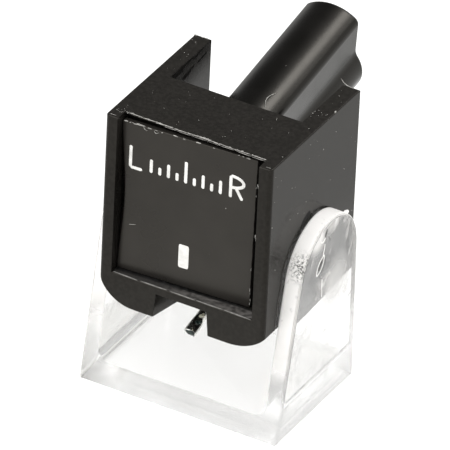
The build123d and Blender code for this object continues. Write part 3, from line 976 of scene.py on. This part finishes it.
class STYLUS_OT_dust(bpy.types.Operator):
    """Scatter specks, torn edges and lint, and dust the sill under the face plate, with a painted shadow
    along the plate's foot
    """
    bl_idname = "stylus.dust"
    bl_label = "Dust and burrs"

    # Places are millimetres across, behind the front face and below the deck
    # Patches as two corners, and their specks
    PATCHES = (
        ((-7.2, 1.4, 0.0), (7.2, 7.3, 0.0), 28),
        ((6.1, 7.6, 0.0), (7.4, 14.0, 0.0), 8),
        ((-7.4, 7.6, 0.0), (-6.1, 14.0, 0.0), 10),
        ((7.5, 0.6, 0.6), (7.5, 13.8, 8.0), 9),
        ((-7.1, 0.8, 0.0), (-6.0, 1.5, 0.0), 16),
        ((6.0, 8.6, 0.0), (7.1, 9.6, 0.0), 6),
    )
    # Torn edges as the two ends of a line, and their flecks
    TORN = (
        ((-6.3, 1.2, 0.02), (6.3, 1.2, 0.02), 60),
        ((-6.2, 0.76, 0.53), (-4.4, 0.86, 0.53), 18),
        ((-4.4, 0.86, 0.53), (5.4, 1.38, 0.53), 16),
        ((5.48, 1.40, 0.6), (5.34, 1.40, 14.1), 9),
        ((7.42, 0.3, 0.04), (7.42, 12.0, 0.04), 5),
        ((-7.40, 13.96, 0.02), (-6.15, 13.96, 0.02), 9),
    )
    # Drawn-out ridges as the two ends of a line, and their lengths
    RIDGES = (
        ((-6.2, 1.19, 0.02), (6.35, 1.19, 0.02), 9),
        ((-3.0, 1.22, 0.16), (6.3, 1.22, 0.16), 7),
        ((-7.35, 0.30, 0.03), (-6.5, 0.30, 0.03), 1),
        ((6.5, 0.30, 0.03), (7.3, 0.30, 0.03), 1),
    )
    LIP = (((-6.3, 0.10, 14.36), (6.3, 0.10, 14.36), 5),)
    # How far ridges and flecks stray from their lines, in millimetres
    RIDGE_STRAY = 0.022
    FLECK_STRAY = 0.025
    # Curls of lint as control points
    CURLS = (
        ((1.27, 11.89, 1.28), (1.10, 11.20, 1.20), (0.75, 10.60, 1.12), (1.40, 9.94, 1.70)),
        ((6.93, 13.96, -0.01), (6.50, 13.96, -0.03), (6.05, 13.96, -0.12), (5.78, 13.99, -0.56)),
        ((-4.40, 0.84, 0.45), (-4.52, 0.74, 0.60), (-4.30, 0.74, 0.75), (-4.10, 0.82, 0.80)),
        ((-3.55, 0.88, 0.60), (-3.40, 0.80, 0.85), (-3.30, 0.80, 0.80), (-3.10, 0.88, 0.62)),
        ((5.95, 0.60, 7.10), (6.25, 0.12, 6.30), (6.34, 0.06, 6.25), (6.34, 0.05, 7.00)),
        ((6.10, 0.40, 1.90), (6.28, 0.10, 1.80), (6.34, 0.06, 1.85), (6.34, 0.06, 2.10)),
        ((-5.42, 0.785, 9.96), (-5.20, 0.79, 9.92), (-5.00, 0.80, 9.86), (-4.78, 0.815, 9.77)),
    )
    # Sill: its middle, its width and depth
    LEDGE = (0.0, 0.74, 14.35)
    LEDGE_SIZE = (12.6, 1.22)
    # In metres: where across the sill turns from dark to pale, and where before the plate its painted shadow
    # line starts and is full
    PALE_ACROSS = (-0.003, 0.001)
    SHADOW_BEFORE = (0.0004, 0.00015)

    def execute(self, context):
        looks = context.scene.stylus_finishes
        dust = context.scene.stylus_dust
        rng = np.random.default_rng(dust.seed)
        pale = uneven_matter("Dust", looks.dust, 0.8)
        torn = uneven_matter("Torn plastic", looks.burr, 0.5)
        specks = lumps(*scatter(self.PATCHES, dust.size, rng), rng)
        add_piece("dust_specks", *closed_shells(*specks), "housing", "black_moulding", pale)
        flecks = lumps(*self.torn_edges(dust.burr, rng), rng)
        add_piece("edge_burrs", *closed_shells(*flecks), "housing", "black_moulding", torn)
        curls = round_threads(placed(self.CURLS), dust.fibre)
        add_piece("lint_curls", *closed_shells(*curls), "housing", "black_moulding", pale)
        lip = uneven_matter("Sill lip", dimmed(looks.burr, 0.6), 0.5)
        for name, lines, radius, material in (("edge_ridges", self.RIDGES, dust.burr, torn),
                                              ("sill_lip", self.LIP, dust.lip, lip)):
            ridges = round_threads(self.ridge_curves(lines, rng), radius)
            add_piece(name, *closed_shells(*ridges), "housing", "black_moulding", material)
        width, depth = self.LEDGE_SIZE
        slab = rounded_slab(width * MM, depth * MM, dust.ledge)
        ledge = [part[..., [0, 2, 1]] + placed(self.LEDGE) for part in slab]
        # Dust on the sill, and a painted shadow where the plate meets it
        add_piece("sill_dust_and_shadow", *closed_shells(*ledge), "housing", "black_moulding",
                  self.ledge_material(looks, context.scene.stylus_marks))
        return {"FINISHED"}

    def ledge_material(self, looks, marks):
        """Scraped, dusty plastic: mottles and tool strokes, and a painted shadow line along the plate's foot.
        """
        material, tree, inputs = new_material("Dusty ledge, painted shadow", IOR=1.45)
        grain = use_group(tree, "Mould grain", Grain=16000.0, Cloud=2600.0)
        worn = use_group(tree, "Scuffs", Scale=2400.0, Length=3.0)
        across, back, _ = object_axes(tree)
        right = ranged(tree, across, *self.PALE_ACROSS, 0.0, 1.0)
        pale = mixed(tree, right, dimmed(looks.ledge, 0.2), looks.ledge)
        tone = mixed(tree, grain["Tone"], dimmed(looks.ledge, 0.25), pale)
        slope = (marks.depth_right - marks.depth_left) / (PLATE_HIGH[0] - PLATE_LOW[0])
        back = math_node(tree, "SUBTRACT", back, math_node(tree, "MULTIPLY", across, slope))
        line = plate_front(0.0, marks)
        shade = ranged(tree, back, *(line - before for before in self.SHADOW_BEFORE), 0.0, 1.0)
        tone = mixed(tree, worn["Scratch"], tone, dimmed(looks.ledge, 0.2))
        # Painted shadow: the sill goes nearly black just in front of the plate's foot
        tree.links.new(mixed(tree, shade, tone, dimmed(looks.ledge, 0.03)), inputs["Base Color"])
        tree.links.new(ranged(tree, grain["Tone"], 0.0, 1.0, 0.4, 0.7), inputs["Roughness"])
        bump(tree, grain["Height"], 6e-6, inputs)
        return material

    def ridge_curves(self, lines, rng):
        """Lines cut into lengths with small gaps, each with its control points set a little off the line."""
        start, end, counts = (np.array(column) for column in zip(*lines))
        first = np.concatenate([np.arange(count) / count for count in counts])
        span = np.repeat(1 / counts, counts)
        start, end = np.repeat(start, counts, axis=0), np.repeat(end, counts, axis=0)
        t = first[:, None] + span[:, None] * np.array([-0.02, 0.34, 0.66, 0.98])
        points = start[:, None] + t[..., None] * (end - start)[:, None]
        return placed(points + rng.normal(0, self.RIDGE_STRAY, points.shape))

    def torn_edges(self, size, rng):
        """Flecks along lines, drawn out along each line and set a little off it."""
        start, end, counts = (np.array(column) for column in zip(*self.TORN))
        start, end = np.repeat(start, counts, axis=0), np.repeat(end, counts, axis=0)
        spots = start + rng.uniform(0, 1, (len(start), 1)) * (end - start)
        way = np.abs(end - start) / np.linalg.norm(end - start, axis=1, keepdims=True)
        stretch = 1 + way * rng.uniform(0.5, 5.0, (len(start), 1))
        sizes = size * rng.lognormal(0.0, 0.3, (len(start), 1)) * stretch
        return placed(spots + rng.normal(0, self.FLECK_STRAY, spots.shape)), sizes


class STYLUS_OT_stage(bpy.types.Operator):
    """Set the floor, the lights and the camera"""
    bl_idname = "stylus.stage"
    bl_label = "Stage"

    # Half width of the floor in metres
    FLOOR_REACH = 6.0
    # Ellipse that the floor's light fades around: its middle and half sizes in metres, and the shares of
    # those half sizes where the fading starts and ends
    POOL = {"Location": (-0.010, 0.019, 0.0), "Scale": (0.0175, 0.032, 1.0)}
    POOL_EDGE = (1.32, 1.8)
    POOL_TINT = (1.0, 1.0, 0.995)
    RIM_TINT = (1.0, 1.0, 0.98)
    # Cosines of the angle to the dim side's middle where the room starts to dim and where it is dimmest
    DIM_EDGE = (0.73, 0.96)
    ROOM_TINT = (1.0, 0.995, 0.985, 1.0)
    # The key's spread in degrees and the way to it, then the side box's size and distance in metres and
    # the way to it
    KEY_SPREAD = 70
    KEY_WAY = Vector((-0.30, -0.42, 0.86))
    BOX_SIZE = (0.11, 0.27)
    BOX_AWAY = 0.5
    BOX_WAY = Vector((0.21, 0.49, 0.85)).normalized()

    def execute(self, context):
        stage = context.scene.stylus_stage
        self.floor(context, stage)
        self.room(context, stage)
        self.lamps(context, stage)
        self.camera(context, stage)
        context.scene.view_settings.view_transform = "Standard"
        return {"FINISHED"}

    def floor(self, context, stage):
        """Flat sheet under the guard's foot that glows as a light table does, less so outside an ellipse."""
        mesh = bpy.data.meshes.new("floor")
        reach, low = self.FLOOR_REACH, CAD_BOX[0][2]
        corners = [(-reach, -reach, low), (reach, -reach, low), (reach, reach, low), (-reach, reach, low)]
        mesh.from_pydata(corners, [], [(0, 1, 2, 3)])
        sheet = bpy.data.objects.new("floor", mesh)
        context.scene.collection.objects.link(sheet)
        material, tree, inputs = new_material("Pale floor", Roughness=0.6, Emission_Strength=stage.glow)
        skin = use_group(tree, "Mould grain", Grain=900.0, Cloud=18.0)
        base = mixed(tree, skin["Tone"], dimmed(stage.floor, 0.985), stage.floor)
        tree.links.new(base, inputs["Base Color"])
        ellipse = {**self.POOL, "Rotation": (0.0, 0.0, stage.azimuth)}
        lit = add_node(tree, "ShaderNodeMapping", ellipse, vector_type="TEXTURE")
        tree.links.new(object_place(tree), lit.inputs["Vector"])
        away = add_node(tree, "ShaderNodeVectorMath", operation="LENGTH")
        tree.links.new(lit.outputs[0], away.inputs[0])
        fade = ranged(tree, away.outputs["Value"], *self.POOL_EDGE, 0.0, 1.0)
        light = mixed(tree, fade, self.POOL_TINT, dimmed(self.RIM_TINT, stage.rim))
        tree.links.new(light, inputs["Emission Color"])
        mesh.materials.append(material)

    def room(self, context, stage):
        """White room with one dim side: the light falls off with the angle to that side's middle."""
        world = bpy.data.worlds.new("Room")
        world.use_nodes = True
        context.scene.world = world
        tree = world.node_tree
        look = tree.nodes.new("ShaderNodeTexCoord").outputs["Generated"]
        towards = add_node(tree, "ShaderNodeVectorMath", {1: stage.dim_side}, operation="DOT_PRODUCT")
        tree.links.new(look, towards.inputs[0])
        level = ranged(tree, towards.outputs["Value"], *self.DIM_EDGE, stage.room, stage.gloom)
        tree.links.new(level, tree.nodes["Background"].inputs["Strength"])
        tree.nodes["Background"].inputs["Color"].default_value = self.ROOM_TINT

    def lamps(self, context, stage):
        """A broad soft light from above the front, and a soft box behind on the right."""
        sun = bpy.data.lights.new("Key", "SUN")
        sun.energy = stage.key
        sun.angle = math.radians(self.KEY_SPREAD)
        lamp = bpy.data.objects.new("Key", sun)
        lamp.rotation_euler = self.KEY_WAY.to_track_quat("Z", "Y").to_euler()
        context.scene.collection.objects.link(lamp)
        box = bpy.data.lights.new("Side box", "AREA")
        box.shape = "RECTANGLE"
        box.size, box.size_y = self.BOX_SIZE
        box.energy = stage.box
        lamp = bpy.data.objects.new("Side box", box)
        lamp.location = self.BOX_WAY * self.BOX_AWAY
        lamp.rotation_euler = self.BOX_WAY.to_track_quat("Z", "Y").to_euler()
        context.scene.collection.objects.link(lamp)

    def camera(self, context, stage):
        """Camera at its distance from the aim, turned to the right of the front, raised and rolled."""
        a, e, r = stage.azimuth, stage.elevation, stage.roll
        right = Vector((math.cos(a), math.sin(a), 0))
        back = Vector((math.sin(a) * math.cos(e), -math.cos(a) * math.cos(e), math.sin(e)))
        up = back.cross(right)
        level = math.cos(r) * right + math.sin(r) * up
        plumb = math.cos(r) * up - math.sin(r) * right
        lens = bpy.data.cameras.new("Camera")
        lens.lens = stage.lens
        lens.sensor_width = 36.0
        lens.clip_start = 0.01
        view = bpy.data.objects.new("Camera", lens)
        turned = Matrix((level, plumb, back)).transposed().to_4x4()
        view.matrix_world = Matrix.Translation(Vector(stage.aim) + stage.distance * back) @ turned
        context.scene.collection.objects.link(view)
        context.scene.camera = view


class STYLUS_PT_looks(bpy.types.Panel):
    """Sizes, colours and steps of the stylus assembly's looks"""
    bl_idname = "STYLUS_PT_looks"
    bl_label = "Stylus assembly"
    bl_space_type = "VIEW_3D"
    bl_region_type = "UI"
    bl_category = "Stylus"

    def draw(self, context):
        layout = self.layout
        for setting in SETTINGS:
            group = getattr(context.scene, setting)
            box = layout.box()
            for name in group.__annotations__:
                box.prop(group, name)
        for step in STEPS:
            layout.operator(step.bl_idname)


SETTINGS = {"stylus_finishes": StylusFinishes, "stylus_marks": StylusMarks, "stylus_dust": StylusDust,
            "stylus_guard": StylusGuard, "stylus_stage": StylusStage}
STEPS = (STYLUS_OT_housing, STYLUS_OT_face_plate, STYLUS_OT_plug, STYLUS_OT_moving_system,
         STYLUS_OT_guard, STYLUS_OT_dust, STYLUS_OT_stage)


def register():
    """Registers the classes and hangs the settings on the scene."""
    for group in (*SETTINGS.values(), *STEPS, STYLUS_PT_looks):
        bpy.utils.register_class(group)
    for name, group in SETTINGS.items():
        setattr(bpy.types.Scene, name, PointerProperty(type=group))


def unregister():
    """Takes back what register made."""
    for name in SETTINGS:
        delattr(bpy.types.Scene, name)
    for group in (STYLUS_PT_looks, *reversed(STEPS), *reversed(SETTINGS.values())):
        bpy.utils.unregister_class(group)


def main():
    """Dresses the frame."""
    register()
    bpy.ops.stylus.housing()
    bpy.ops.stylus.face_plate()
    bpy.ops.stylus.plug()
    bpy.ops.stylus.moving_system()
    bpy.ops.stylus.guard()
    bpy.ops.stylus.dust()
    bpy.ops.stylus.stage()


if __name__ == "__main__":
    main()
